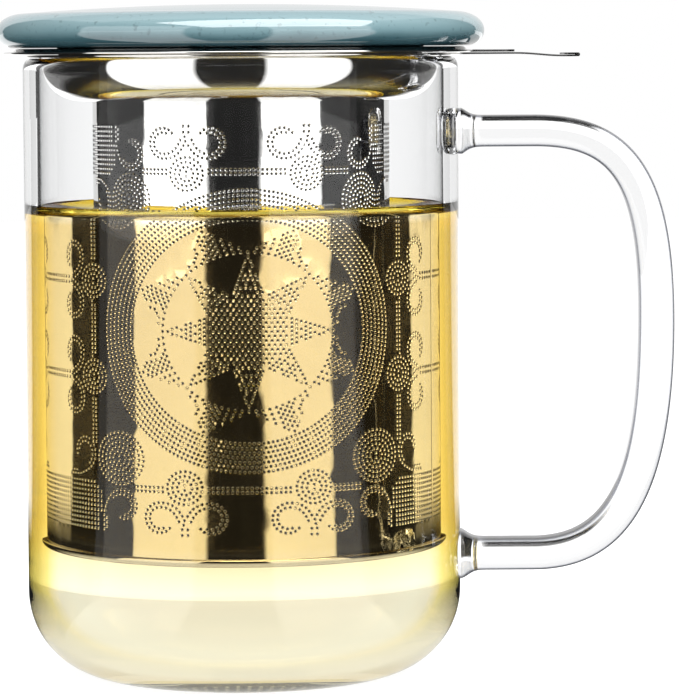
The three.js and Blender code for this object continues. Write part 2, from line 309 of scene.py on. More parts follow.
def superellipse(sides, power):
    """Unit points round a superellipse: cosine and sine, each to the power of 2 over the power."""
    angle = np.linspace(0, 2 * np.pi, sides, endpoint=False)
    waves = np.cos(angle), np.sin(angle)
    return [np.sign(wave) * np.abs(wave) ** (2 / power) for wave in waves]


grip_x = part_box("handle")[1].x / MM - GRIP_THICKNESS / 2
upper_arm, lower_arm = MUG_HEIGHT - ARM_DROP, ARM_RISE
bend_x = MUG_RADIUS + ARM_LENGTH
corner_x = bend_x + CORNER_PULL * (grip_x - bend_x)
upper_reach = GRIP_HEIGHT + UPPER_PULL * (upper_arm - GRIP_HEIGHT)
lower_reach = GRIP_HEIGHT - LOWER_PULL * (GRIP_HEIGHT - lower_arm)
buried_x = MUG_RADIUS - STRAP_START
grip_point = (grip_x, GRIP_HEIGHT)
strap_line = joined(
    run((buried_x, upper_arm), (bend_x, upper_arm), 30),
    bezier((bend_x, upper_arm), (corner_x, upper_arm), (grip_x, upper_reach), grip_point, 60),
    bezier(grip_point, (grip_x, lower_reach), (corner_x, lower_arm), (bend_x, lower_arm), 60),
    run((bend_x, lower_arm), (buried_x, lower_arm), 30),
)
steps_on = np.linalg.norm(np.diff(strap_line, axis=0), axis=1)
travelled = np.concatenate([[0], np.cumsum(steps_on)])
to_end = np.minimum(travelled, travelled[-1] - travelled)
flare = np.exp(-((np.maximum(0, to_end - STRAP_START) / PAD_FLARE) ** 2))[:, None]
share = (travelled / travelled[-1])[:, None]
swell = np.sin(np.pi * np.clip((share - GRIP_FROM) / GRIP_SHARE, 0, 1)) ** 2
thick = ARM_THICKNESS + (GRIP_THICKNESS - ARM_THICKNESS) * swell
thick = thick + (PAD_HEIGHT - thick) * flare
wide = HANDLE_WIDTH + (PAD_WIDTH - HANDLE_WIDTH) * flare
strap_across, strap_aside = superellipse(STRAP_SIDES, STRAP_POWER)
strap_rows = carried(strap_line, strap_aside * wide / 2, strap_across * thick / 2)


def pad_face(section, shrink):
    """An end section drawn in towards its middle and laid on a cylinder just inside the wall."""
    middle = section.mean(axis=0)
    y, z = (middle[1:] + (section[:, 1:] - middle[1:]) * shrink).T
    return np.column_stack([np.sqrt((MUG_RADIUS - FUSED_DEPTH) ** 2 - y**2), y, z])


def pad_closing(section):
    """Rows that close an end section on the wall, from one point in its middle outwards."""
    return [pad_face(section, shrink) for shrink in PAD_ROWS]


in_wall = np.hypot(strap_rows[..., 0], strap_rows[..., 1]).min(axis=1) < MUG_RADIUS + IN_WALL
free_rows = strap_rows[~in_wall]
strap_skin = pad_closing(free_rows[0]) + list(free_rows) + pad_closing(free_rows[-1])[::-1]
strap_glass = clear_glass("strap_glass", STRAP_INDEX, STRAP_EDGE_SHADE_TONES)
handle = lofted("handle_glass", np.stack(strap_skin), strap_glass)
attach(handle, "mug")
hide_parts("handle")

# ------------------------------------------------------------------ tea
# The mug is full of yellow tea, up to a flat level under the collar. The tea wets the glass, so a
# thin edge of it climbs the wall. It stays in the mug when the infuser is lifted out.

TEA_LEVEL = 90.5
TEA_CLIMB = 2.3
TEA_CLIMB_LENGTH = 2.2
WETTED = 0.06
TEA_INDEX = 1.333
TEA_BODY = (0.97, 0.85, 0.35, 1)
TEA_DENSITY = 3.0

# The tone goes by height, where 1 is 100 mm: clear below the basket, golden beside it and bright at the
# surface. It also deepens where the wall turns away, because more tea lies behind it there, and its
# darkest side colours are painted shade at the tea's edges. In the round bottom corner, which turns
# away for another reason, little of that painted shade is left.
TEA_TOP_TONE = 0.1
TEA_TONES = [
    (0.0, (0.995, 0.975, 0.80)), (0.2, (0.99, 0.97, 0.80)), (0.27, (0.90, 0.73, 0.34)),
    (0.895, (0.88, 0.71, 0.36)), (0.905, (0.99, 0.95, 0.80)), (0.92, (1.0, 0.80, 0.04)),
]
TEA_SIDE_SHADE_TONES = [
    (0.12, (0.92, 0.87, 0.84)), (0.27, (1.0, 1.0, 1.0)), (0.33, (1.0, 0.96, 0.88)),
    (0.385, (0.93, 0.74, 0.15)), (0.435, (0.55, 0.42, 0.045)), (0.5, (0.38, 0.29, 0.02)),
]
TEA_CORNER_FROM = 0.007
TEA_CORNER_TO = 0.018
TEA_CORNER_SHARE = 0.15


def axes(material):
    """The Object coordinates of a material as outputs X, Y and Z, in metres."""
    return add(material, "SeparateXYZ", {"Vector": place(material)}).outputs


def multiplied(material, colour, other, share=1.0):
    """The colour times another one, or times a value, as far as the share says."""
    feeds = {0: share, 6: colour, 7: other}
    return add(material, "Mix", feeds, data_type="RGBA", blend_type="MULTIPLY").outputs[2]


tea_liquid = finish(
    "yellow_tea", Base_Color=(1, 1, 1, 1), Transmission_Weight=1, IOR=TEA_INDEX, Roughness=0
)
tea_height = axes(tea_liquid)["Z"]
tea_tone = ramp(tea_liquid, spread(tea_liquid, tea_height, 0, TEA_TOP_TONE, 0, 1), TEA_TONES)
# Painted shade at the tea's sides, by how far the surface turns away.
tea_side_shade = ramp(tea_liquid, turned_away(tea_liquid), TEA_SIDE_SHADE_TONES)
tea_side_shade_share = spread(tea_liquid, tea_height, TEA_CORNER_FROM, TEA_CORNER_TO, TEA_CORNER_SHARE, 1)
wire(tea_liquid, multiplied(tea_liquid, tea_tone, tea_side_shade, tea_side_shade_share), "Base Color")
absorbing = add(tea_liquid, "VolumeAbsorption", {"Color": TEA_BODY, "Density": TEA_DENSITY})
tea_output = tea_liquid.node_tree.nodes["Material Output"]
tea_liquid.node_tree.links.new(absorbing.outputs["Volume"], tea_output.inputs["Volume"])

tea_wall = MUG_INNER + WETTED
tea_floor = MUG_FLOOR - WETTED
tea_inside = tea_wall - inner_corner
climb_radius = np.linspace(tea_wall, tea_wall - 6 * TEA_CLIMB_LENGTH, 30)
climb_height = TEA_LEVEL + TEA_CLIMB * np.exp((climb_radius - tea_wall) / TEA_CLIMB_LENGTH)
tea_outline = joined(
    run((0, tea_floor), (tea_inside, tea_floor), 4),
    arc(tea_inside, tea_floor + inner_corner, inner_corner, inner_corner, -90, 0, 24),
    run((tea_wall, tea_floor + inner_corner), (tea_wall, TEA_LEVEL + TEA_CLIMB), 6, ease=0.04),
    np.column_stack([climb_radius, climb_height]),
    (0, TEA_LEVEL),
)
tea = turned("tea", tea_outline, tea_liquid)
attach(tea, "mug")

# ------------------------------------------------------------------ infuser collar
# The collar is a bowl drawn from steel sheet and polished like a mirror. A flat flange hangs it on
# the glass rim, and round the hole for the basket its floor is level.

SHEET = 0.5
COLLAR_CLEARANCE = 0.4
COLLAR_NECK = 0.9
SHEET_BEND = 0.9
BASKET_RADIUS = 29.0
BASKET_LIP = 2.0
BASKET_CLEARANCE = 0.3
WIPED_GRAIN = 400
STEEL_CLOUDS = 60
STEEL_WAVES = 45
STEEL_WAVE_HEIGHT = 0.000008
collar_low, collar_high = (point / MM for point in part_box("infuser_collar"))
collar_outer = MUG_INNER - COLLAR_CLEARANCE


def sheet_outline(middle_line, thickness):
    """The outline of a bent sheet: its middle line moved out by half the thickness to both sides,
    with a half circle round each edge. The line runs anticlockwise, its right side outwards."""
    line = joined(middle_line)
    forward, left = headings(line)
    half = thickness / 2
    turn = np.linspace(0, np.pi, 7)[1:-1, None]
    far_edge = line[-1] + half * (forward[-1] * np.sin(turn) - left[-1] * np.cos(turn))
    near_edge = line[0] + half * (left[0] * np.cos(turn) - forward[0] * np.sin(turn))
    return joined(line - half * left, far_edge, (line + half * left)[::-1], near_edge)


def polished_steel(name, colour, roughness):
    """Polished stainless steel: the faint grain of rolling and wiping, and slow waves."""
    material = finish(name, Base_Color=(*colour, 1), Metallic=1, Roughness=roughness)
    wiped = noise(material, WIPED_GRAIN, 3.0, (1, 1, 0.08))
    wire(material, spread(material, wiped, 0.35, 0.7, roughness * 0.6, roughness * 1.8), "Roughness")
    tone = spread(material, noise(material, STEEL_CLOUDS, 3.0), 0.3, 0.7, 0.92, 1.0)
    wire(material, multiplied(material, (*colour, 1), tone), "Base Color")
    bumped(material, noise(material, STEEL_WAVES, 1.0), STEEL_WAVE_HEIGHT)
    return material


steel = polished_steel("mirror_steel", (0.83, 0.82, 0.80), 0.04)

half_sheet = SHEET / 2
bowl_low = collar_low.z + half_sheet
bowl_rim = collar_outer - half_sheet
bowl_level = BASKET_RADIUS + BASKET_CLEARANCE + BASKET_LIP
neck = MUG_HEIGHT - COLLAR_NECK
flange_middle = collar_high.z - half_sheet
flange_bend = flange_middle - SHEET_BEND
collar_line = joined(
    run((BASKET_RADIUS + BASKET_CLEARANCE + half_sheet, bowl_low), (bowl_level, bowl_low), 2),
    arc(bowl_level, neck, bowl_rim - bowl_level, neck - bowl_low, -90, 0, 32),
    run((bowl_rim, neck), (bowl_rim, flange_bend), 2),
    arc(bowl_rim + SHEET_BEND, flange_bend, SHEET_BEND, SHEET_BEND, 180, 90, 10),
    run((bowl_rim + SHEET_BEND, flange_middle), (collar_high.y - half_sheet, flange_middle), 4),
)
infuser_collar = turned("collar_bowl", sheet_outline(collar_line, SHEET), steel)
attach(infuser_collar, "infuser")
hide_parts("infuser_collar")

# ------------------------------------------------------------------ rim plate
# The rim plate is a flat ring pressed from thinner sheet and welded on the collar's flange. A
# raised band carries the lid, and a tongue runs out over the thumb tab.

RIM_PLATE = 0.45
RIM_INSET = 1.9
RIM_OVERHANG = 3.6
BEAD_INSET = 2.3
BEAD_WIDTH = 3.3
BEAD_SLOPE = 0.6
BEAD_EASE = 0.2
TAB_WIDTH = 18.0
TONGUE_ROOT = 1.6
TONGUE_CORNER = 3.0
TONGUE_SUNK = 0.02
SHEARED_SLOPE = 0.9
rim_low, rim_high = (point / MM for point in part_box("infuser_rim"))
rim_radius = MUG_RADIUS + RIM_OVERHANG
half_plate = RIM_PLATE / 2
rim_mouth = collar_outer - SHEET - RIM_INSET + half_plate
plate_middle = rim_low.z + half_plate
bead_middle = rim_high.z - half_plate
bead_outer = rim_radius - BEAD_INSET
bead_inner = bead_outer - BEAD_WIDTH


def eased(start, end, steps=8):
    """Points from start to end that leave and arrive level: the height follows half a cosine."""
    share = np.linspace(0, 1, steps + 1)
    height = start[1] + (end[1] - start[1]) * (1 - np.cos(np.pi * share)) / 2
    return np.column_stack([start[0] + (end[0] - start[0]) * share, height])


rim_line = joined(
    run((rim_mouth, plate_middle), (bead_inner - BEAD_SLOPE, plate_middle), 4),
    eased((bead_inner - BEAD_SLOPE, plate_middle), (bead_inner + BEAD_EASE, bead_middle)),
    run((bead_inner + BEAD_EASE, bead_middle), (bead_outer - BEAD_EASE, bead_middle), 3),
    eased((bead_outer - BEAD_EASE, bead_middle), (bead_outer + BEAD_SLOPE, plate_middle)),
    run((bead_outer + BEAD_SLOPE, plate_middle), (rim_radius - half_plate, plate_middle), 2),
)
rim_plate = turned("rim_ring", sheet_outline(rim_line, RIM_PLATE), steel)
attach(rim_plate, "infuser")
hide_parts("infuser_rim")

# Where a strip was sheared off the sheet, its edge is dull, and its colour is painted near black:
# painted shade along the thin edges.
painted_dark_edge_steel = polished_steel("painted_dark_edge_steel", (0.06, 0.06, 0.06), 0.3)


def strip(name, line, width, corner, thickness, material):
    """A flat strip along a line (x, z) with rounded edges. Its width is held inside the round corners
    at the far end: there the half width falls as the side of a quarter circle does. Faces that don't
    look up or down are sheared ones, and they take the steel painted near black."""
    tip = line[:, 0].max() + thickness / 2
    into_corner = np.clip(line[:, 0] - (tip - corner), 0, corner - thickness)
    half_width = width / 2 - corner + np.sqrt(corner**2 - into_corner**2)
    edge = np.radians(np.linspace(-90, 90, 9))
    flat = (half_width - thickness / 2)[:, None]
    rim_y, rim_n = thickness / 2 * np.cos(edge), thickness / 2 * np.sin(edge)
    right_edge, right_flat = flat + rim_y, flat * (1 - np.array([0.02, 0.5]))
    left_edge, left_flat = -right_edge, -right_flat
    aside = np.concatenate([
        right_edge, right_flat, left_flat[:, ::-1], left_edge, left_flat, right_flat[:, ::-1]
    ], axis=1)
    high, low = np.full(2, thickness / 2), np.full(2, -thickness / 2)
    across = np.concatenate([rim_n, high, high, rim_n[::-1], low, low])
    rows = carried(line, aside, across)
    ends = [[row.mean(axis=0) + (row - row.mean(axis=0)) * s for s in (0, 0.9)]
            for row in (rows[0], rows[-1])]
    piece = lofted(name, np.stack(ends[0] + list(rows) + ends[1][::-1]), material)
    piece.data.materials.append(painted_dark_edge_steel)
    for face in piece.data.polygons:
        face.material_index = int(abs(face.normal.z) < SHEARED_SLOPE)
    return piece


tongue_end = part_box("infuser_rim")[1].x / MM
tongue_start = (rim_radius - TONGUE_ROOT, plate_middle)
tongue_line = run(tongue_start, (tongue_end - half_plate, plate_middle), 40)
tongue = strip("rim_tongue", tongue_line, TAB_WIDTH, TONGUE_CORNER, RIM_PLATE - TONGUE_SUNK, steel)
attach(tongue, "infuser")
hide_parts("infuser_rim")

# ------------------------------------------------------------------ thumb tab
# The tab is a strip of steel welded under the tongue. It dips a little outwards, and its end is
# folded back on itself so that no raw edge meets the thumb.

TAB_SHEET = 0.35
TAB_DIP = 0.55
TAB_HEM = 2.8
TAB_CORNER = 5.0
HEM_GAP = 0.03
TAB_GAP = 0.1
tab_low, tab_high = (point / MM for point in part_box("infuser_tab"))
half_tab = TAB_SHEET / 2
tab_under = rim_low.z - TAB_GAP - half_tab
hem_turn = half_tab + HEM_GAP
tab_fold = tab_high.x - half_tab - hem_turn
tab_end = tab_under - TAB_DIP
tab_line = joined(
    run((tab_low.x, tab_under), (tongue_end, tab_under), 10),
    eased((tongue_end, tab_under), (tab_fold - TAB_HEM, tab_end), 16),
    run((tab_fold - TAB_HEM, tab_end), (tab_fold, tab_end), 12),
    arc(tab_fold, tab_end + hem_turn, hem_turn, hem_turn, -90, 90, 10),
    run((tab_fold, tab_end + 2 * hem_turn), (tab_fold - TAB_HEM, tab_end + 2 * hem_turn), 12),
)
thumb_tab = strip("thumb_tab", tab_line, TAB_WIDTH, TAB_CORNER, TAB_SHEET, steel)
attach(thumb_tab, "infuser")
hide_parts("infuser_tab")

# ------------------------------------------------------------------ basket wall
# The basket's wall is thin stainless sheet with a lace of fine etched holes: a star in a ring, in a
# frame of double lines with scrolls and nets in its corners, on both sides of the basket. The sheet
# is rolled, seam welded at the handle's side, and its lip is turned out to hang in the collar.

BASKET_SHEET = 0.45
WALL_BEND = 0.7
HOLE_SIDES = 6
HOLE_MOUTH = 0.37
HOLE_BORE = 0.24
HOLE_CHAMFER = 0.12
HOLE_GAP = 0.775
PATTERN_TURN = 3.37
PATTERN_MIDDLE = 69.5
PATTERN_STRETCH = 1.03
SEAM_SLIT = 0.25
SEAM_MARGIN = 0.05
SEAM_BESIDE = 0.93
SHEET_GRID = 1.9

# The pattern's own sizes, in millimetres from its middle before it is stretched. A pitch is the
# step along a row of holes, and a step leads to the next row.
HEART_REACH = 6.9
HEART_PITCH = 1.0
HEART_STEP = 0.85
RAY_TIP = 14.12
RAY_TIP_HALF = 0.2
RAY_WIDENING = 0.275
RAY_PITCH = 0.82
RAY_STEP = 0.83
RAY_ROWS = 9
GABLE_BASE = 15.1
GABLE_TOP = 20.75
GABLE_ROWS = 11
BAND_RADIUS = 21.27
BAND_PITCH = 0.815
BAND_STEP = 0.903
BAND_RINGS = 7
ROSE_START = 0.46
ROSE_STEP = 0.905
SCROLL_PITCH = 0.9
CORNER_ROSE = np.array([24.05, 24.55])
UPPER_ROSE = np.array([11.3, 29.7])
SIDE_ROSE = np.array([30.15, 9.2])
ROSE_CLEARANCE = 3.6
LEVEL_LINES = (29.7, 30.53)
UPRIGHT_LINES = (29.72, 30.53)
LINK_LINES = (-0.52, 0.52)
LINK_FROM = 38.2
NET_PITCH = 0.926
NET_STEP = 0.9
NET_TOP = 38.5
NET_DIAGONAL = 59.6

wall_low, wall_high = (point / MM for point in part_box("basket_wall"))
half_wall = BASKET_SHEET / 2
wall_middle = BASKET_RADIUS - half_wall
lip_middle = wall_high.z - half_wall
lip_bend = lip_middle - WALL_BEND
pattern_width = math.pi * BASKET_RADIUS / PATTERN_STRETCH


def ring(radius, count, start=0.0):
    """Points in equal steps round a circle: the radius times the sine and cosine of the angle."""
    angle = start + 2 * np.pi * np.arange(count) / count
    return radius * np.column_stack([np.sin(angle), np.cos(angle)])


def rosette(rings):
    """A round of holes: rings one step apart, each with six more holes than the one inside it."""
    return np.concatenate([
        ring(ROSE_START + ROSE_STEP * i, 4 + 6 * i, 0.4 * i) for i in range(rings)
    ])


def along(path, pitch):
    """Points at equal steps along a path, found between its own points by the length gone."""
    gone = np.concatenate([[0], np.cumsum(np.linalg.norm(np.diff(path, axis=0), axis=1))])
    steps = np.arange(0, gone[-1], pitch)
    return np.column_stack([np.interp(steps, gone, path[:, side]) for side in (0, 1)])


def curl(middle, radius, tuck, start, end):
    """The open circle of a scroll, from its free end to its top. The radius starts tucked in and
    grows to its full size within the first third."""
    angle = np.radians(np.linspace(start, end, 60))
    r = (radius - tuck * np.exp(-np.linspace(0, 6, 60)))[:, None]
    return middle + r * np.column_stack([np.cos(angle), np.sin(angle)])


def scroll(middle, start, end, radii, feet):
    """A scroll of two rows of holes. Each row curls round the middle, then its leg sweeps to the
    first of its feet and runs straight to the others."""
    rows = []
    for radius, (landing, *straight) in zip(radii, feet):
        turn = curl(np.array(middle), radius, 0.14 * radius, start, end)
        top, landing = turn[-1], np.array(landing, float)
        span = landing - top
        hold = top + (0.75 * span[0], 0.2 * span[1])
        leg = bezier(top, top + (0.42 * span[0], 0), hold, landing, 40)
        rows.append(along(joined(turn, leg, *straight), SCROLL_PITCH))
    return np.concatenate(rows)


def mirrored(points):
    """The points with their mirror images left to right, top to bottom, and both."""
    return np.concatenate([points * side for side in ((1, 1), (-1, 1), (1, -1), (-1, -1))])


def spun(points, count, start=0.0):
    """Copies of the points, turned about the middle in equal steps."""
    turns = start + 2 * np.pi * np.arange(count) / count
    return np.concatenate([
        points @ [[math.cos(turn), -math.sin(turn)], [math.sin(turn), math.cos(turn)]]
        for turn in turns
    ])


def star_ray():
    """One ray of the star, pointing up: rows across it that widen from one hole at its tip."""
    rows = []
    for row in range(RAY_ROWS):
        half = RAY_TIP_HALF + RAY_WIDENING * row
        count = round(2 * half / RAY_PITCH) + 1
        across = np.linspace(-half, half, count) if count > 1 else np.zeros(1)
        rows.append(np.column_stack([across, 0 * across + RAY_TIP - RAY_STEP * row]))
    return np.concatenate(rows)


def star_heart():
    """The middle of the star: staggered rows of holes inside the eight sides where its rays begin."""
    across, up = np.meshgrid(np.arange(-8, 9) * HEART_PITCH, np.arange(-9, 10))
    across = across + HEART_PITCH / 2 * (up % 2)
    points = np.column_stack([across.ravel(), HEART_STEP * up.ravel()])
    turns = np.arange(8) * np.pi / 4
    return points[(points @ [np.cos(turns), np.sin(turns)] < HEART_REACH).all(axis=1)]


def gable():
    """A three-sided field outside the star, pointing up. Its base is the arc between two tips, and
    each further row has one hole less and is drawn in towards the point on the border."""
    rows = []
    for row in range(GABLE_ROWS):
        share = row / (GABLE_ROWS - 0.5)
        count = GABLE_ROWS - row
        angle = np.linspace(-1, 1, count) * np.pi / 8 if count > 1 else np.zeros(1)
        base = GABLE_BASE * np.column_stack([np.sin(angle), np.cos(angle)])
        rows.append((1 - share) * base + share * np.array([0, GABLE_TOP]))
    return np.concatenate(rows)


half_fleur = scroll((-4.5, -5.85), -48, -270, (2.95, 2.1),
                    ([(-0.05, -6.3), (-0.52, -8.0)], [(-0.55, -8.0), (-0.52, -9.1)]))
fleur = np.concatenate([half_fleur, half_fleur * (-1, 1)])
corner_scroll = scroll((-0.6, 8.9), 78, 270, (2.92, 2.06),
                       ([(3.8, 10.7), (3.8, 14.0)], [(3.1, 10.7), (3.1, 14.0)]))
across_edge = np.arange(0.41, 21, 0.83)
up_edge = np.arange(0.41, 21.8, 0.82)
across_edge = across_edge[np.abs(across_edge - UPPER_ROSE[0]) > ROSE_CLEARANCE]
up_edge = up_edge[np.abs(up_edge - SIDE_ROSE[1]) > ROSE_CLEARANCE]
columns = pattern_width / 2 - NET_PITCH / PATTERN_STRETCH * (0.5 + np.arange(18))
net = np.stack(np.meshgrid(columns, NET_TOP - NET_STEP * np.arange(11)), axis=-1).reshape(-1, 2)
net = net[net.sum(axis=1) > NET_DIAGONAL]
link = columns[columns > LINK_FROM]
band = [BAND_RADIUS + BAND_STEP * i for i in range(BAND_RINGS)]
pattern = np.concatenate([
    star_heart(),
    *[ring(radius, round(2 * np.pi * radius / BAND_PITCH)) for radius in band],
    spun(star_ray(), 8),
    spun(gable(), 8, np.pi / 8),
    mirrored(rosette(6) + CORNER_ROSE),
    mirrored(rosette(4) + UPPER_ROSE),
    mirrored(rosette(4) + SIDE_ROSE),
    mirrored(UPPER_ROSE - fleur),
    mirrored(SIDE_ROSE + fleur[:, ::-1] * (-1, 1)),
    *[mirrored(np.column_stack([link, 0 * link + SIDE_ROSE[1] + side])) for side in LINK_LINES],
    *[mirrored(np.column_stack([across_edge, 0 * across_edge + up])) for up in LEVEL_LINES],
    *[mirrored(np.column_stack([0 * up_edge + out, up_edge])) for out in UPRIGHT_LINES],
    mirrored(CORNER_ROSE + corner_scroll),
    mirrored(CORNER_ROSE + corner_scroll[:, ::-1]),
    mirrored(net),
]) * (PATTERN_STRETCH, 1)


def search_tree(points):
    """A tree that finds the nearest of some flat points quickly."""
    tree = KDTree(len(points))
    for number, point in enumerate(points):
        tree.insert((*point, 0), number)
    tree.balance()
    return tree


def spaced(points, gap):
    """The points without those that lie within the gap of an earlier one."""
    tree = search_tree(points)
    kept = np.ones(len(points), bool)
    for number, point in enumerate(points):
        if kept[number]:
            near = [other for _, other, _ in tree.find_range((*point, 0), gap)]
            kept[[other for other in near if other > number]] = False
    return points[kept]


def clear_of(points, others, gap):
    """The points that lie farther than the gap from each of the others."""
    tree = search_tree(others)
    return points[[tree.find((*point, 0))[2] > gap for point in points]]


def perforated(name, border, filling, holes, lay, material, shaded_inner_material):
    """A closed sheet with a hole at each point. In the flat, triangles fill the space between the
    border, the holes and the filling points in the blank fields. Then lay(points, depth) carries flat
    points, at a depth under the outer face, to their places in space. Each hole narrows over its
    chamfer from the mouth to the bore, and goes on straight to the inner face. The bores and the inner
    face have the shaded inner material, painted dark for the shade in them. The edges of holes and of
    the border shade sharp."""
    angle = np.arange(len(holes))[:, None] + 2 * np.pi / HOLE_SIDES * np.arange(HOLE_SIDES)
    around = np.stack([np.cos(angle), np.sin(angle)], axis=-1)
    mouth = (holes[:, None] + HOLE_MOUTH * around).reshape(-1, 2)
    bore = (holes[:, None] + HOLE_BORE * around).reshape(-1, 2)
    filling = clear_of(filling, np.concatenate([holes, border]), 0.5 * SHEET_GRID)
    flat = np.concatenate([mouth, border, filling])
    mouths, count = len(mouth), len(flat)
    here = np.arange(mouths)
    after = here - here % HOLE_SIDES + (here + 1) % HOLE_SIDES
    edge = mouths + np.arange(len(border))
    edge_after = mouths + (np.arange(len(border)) + 1) % len(border)
    fixed = np.column_stack([np.concatenate([here, edge]), np.concatenate([after, edge_after])])
    found = delaunay_2d_cdt([Vector(point) for point in flat], fixed.tolist(), [], 0, 1e-5)
    number = np.array([origin[0] for origin in found[3]])
    skin = number[np.array(found[2])]
    hole = np.where(np.arange(count) < mouths, np.arange(count) // HOLE_SIDES, -1)
    a, b, c = flat[skin].transpose(1, 0, 2)
    area = (b - a)[:, 0] * (c - a)[:, 1] - (b - a)[:, 1] * (c - a)[:, 0]
    in_hole = (hole[skin] == hole[skin[:, :1]]).all(axis=1) & (hole[skin[:, 0]] >= 0)
    skin = skin[~in_hole & (area > 1e-6)]
    points = np.concatenate([
        lay(flat, 0), lay(bore, HOLE_CHAMFER),
        lay(np.concatenate([bore, border, filling]), BASKET_SHEET),
    ])
    under = count + mouths
    quads = np.concatenate([
        np.column_stack([here, after, count + after, count + here]),
        np.column_stack([count + here, count + after, under + after, under + here]),
        np.column_stack([edge_after, edge, under + edge, under + edge_after]),
    ])
    mesh = bpy.data.meshes.new(name)
    faces = skin.tolist() + (under + skin[:, ::-1]).tolist() + quads.tolist()
    mesh.from_pydata((points * MM).tolist(), [], faces)
    mesh.shade_smooth()
    ends = np.empty(2 * len(mesh.edges), int)
    mesh.edges.foreach_get("vertices", ends)
    level = np.repeat([0, 1, 2], [count, mouths, count])
    hole = np.concatenate([hole, np.arange(mouths) // HOLE_SIDES, hole])
    start, end = ends.reshape(-1, 2).T
    on_border = np.zeros(len(points), bool)
    on_border[np.concatenate([edge, under + edge])] = True
    rim = (hole[start] == hole[end]) & ((hole[start] >= 0) | (on_border[start] & on_border[end]))
    rim &= level[start] == level[end]
    sharp = mesh.attributes.new("sharp_edge", "BOOLEAN", "EDGE")
    sharp.data.foreach_set("value", rim)
    mesh.materials.append(material)
    mesh.materials.append(shaded_inner_material)
    mesh.polygons.foreach_set("material_index", np.repeat([0, 1, 0, 1, 0], [
        len(skin), len(skin), mouths, mouths, len(border)
    ]))
    piece = bpy.data.objects.new(name, mesh)
    bpy.context.scene.collection.objects.link(piece)
    return piece


def on_wall(points, depth, turn):
    """Rolls flat points (along the wall, up) round the basket: the angle from the front is the
    length over the radius, turned on, and the radius is less by the depth."""
    angle = points[:, 0] / BASKET_RADIUS + math.radians(PATTERN_TURN + turn)
    radius = BASKET_RADIUS - depth
    return np.column_stack([
        radius * np.sin(angle), -radius * np.cos(angle), points[:, 1] + PATTERN_MIDDLE
    ])


# Inside, the sheet isn't polished after it is rolled, so it is rougher, and its colour is painted dark:
# painted shade inside the basket and in the bores of the holes.
shaded_inner_steel = polished_steel("shaded_inner_steel", (0.16, 0.15, 0.13), 0.35)

half_round = math.pi * BASKET_RADIUS
seam_right = half_round / 2 - SEAM_BESIDE
pattern[:, 0] -= half_round * (pattern[:, 0] > seam_right)
holes = spaced(pattern, HOLE_GAP)
sheet_low = wall_low.z - PATTERN_MIDDLE
sheet_high = lip_bend - PATTERN_MIDDLE
for side, turn, slit in (("front", 0, 0), ("back", 180, SEAM_SLIT)):
    seam_left = seam_right - half_round + slit
    border = joined(
        run((seam_left, sheet_low), (seam_right, sheet_low), 46),
        run((seam_right, sheet_low), (seam_right, sheet_high), 44),
        run((seam_right, sheet_high), (seam_left, sheet_high), 46),
        run((seam_left, sheet_high), (seam_left, sheet_low), 44),
    )[:-1]
    filling = np.stack(np.meshgrid(
        np.arange(seam_left + 1, seam_right, SHEET_GRID),
        np.arange(sheet_low + 1, sheet_high, SHEET_GRID),
    ), axis=-1).reshape(-1, 2)
    whole_holes = holes[holes[:, 0] > seam_left + HOLE_MOUTH + SEAM_MARGIN]
    half = perforated(
        "basket_" + side, border, filling, whole_holes,
        lambda points, depth: on_wall(points, depth, turn), steel, shaded_inner_steel
    )
    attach(half, "infuser")
    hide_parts("basket_wall")

lip_line = joined(
    run((wall_middle, lip_bend), (wall_middle, lip_bend + 0.01), 1),
    arc(wall_middle + WALL_BEND, lip_bend, WALL_BEND, WALL_BEND, 180, 90, 8)[1:],
    run((wall_middle + WALL_BEND, lip_middle), (wall_high.y - half_wall, lip_middle), 2),
)
basket_lip = turned("basket_lip", sheet_outline(lip_line, BASKET_SHEET), steel)
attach(basket_lip, "infuser")
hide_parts("basket_wall")

# ------------------------------------------------------------------ basket base
# The base is a shallow cup of the same sheet, with rings of the same fine holes in its floor. Its
# skirt turns up round the wall and is welded to it.

BASE_CORNER = 1.0
BASE_FIELD = 26.5
BASE_PITCH = 1.5
base_low, base_high = (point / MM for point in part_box("basket_base"))
base_middle = base_low.z + half_wall
skirt_middle = base_high.y - half_wall
base_line = joined(
    run((BASE_FIELD + half_wall, base_middle), (skirt_middle - BASE_CORNER, base_middle), 1),
    arc(skirt_middle - BASE_CORNER, base_middle + BASE_CORNER, BASE_CORNER, BASE_CORNER, -90, 0, 8),
    run((skirt_middle, base_middle + BASE_CORNER), (skirt_middle, base_high.z - half_wall), 2),
)
basket_cup = turned("basket_cup", sheet_outline(base_line, BASKET_SHEET), steel)
rings_of_holes = range(1, int(BASE_FIELD / BASE_PITCH))
base_floor = perforated(
    "basket_floor", ring(BASE_FIELD, 96)[::-1], np.zeros((0, 2)),
    np.concatenate([np.zeros((1, 2)), *[ring(BASE_PITCH * i, 6 * i) for i in rings_of_holes]]),
    lambda points, depth: np.column_stack([points * (1, -1), base_low.z + depth + 0 * points[:, 0]]),
    steel, shaded_inner_steel
)
for piece in (basket_cup, base_floor):
    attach(piece, "infuser")
    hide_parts("basket_base")

# ------------------------------------------------------------------ lid
# The lid is a thick disc of glazed ceramic with a full round edge and a low dome. Underneath it is
# hollow, inside a ring that drops into the mouth of the rim plate.

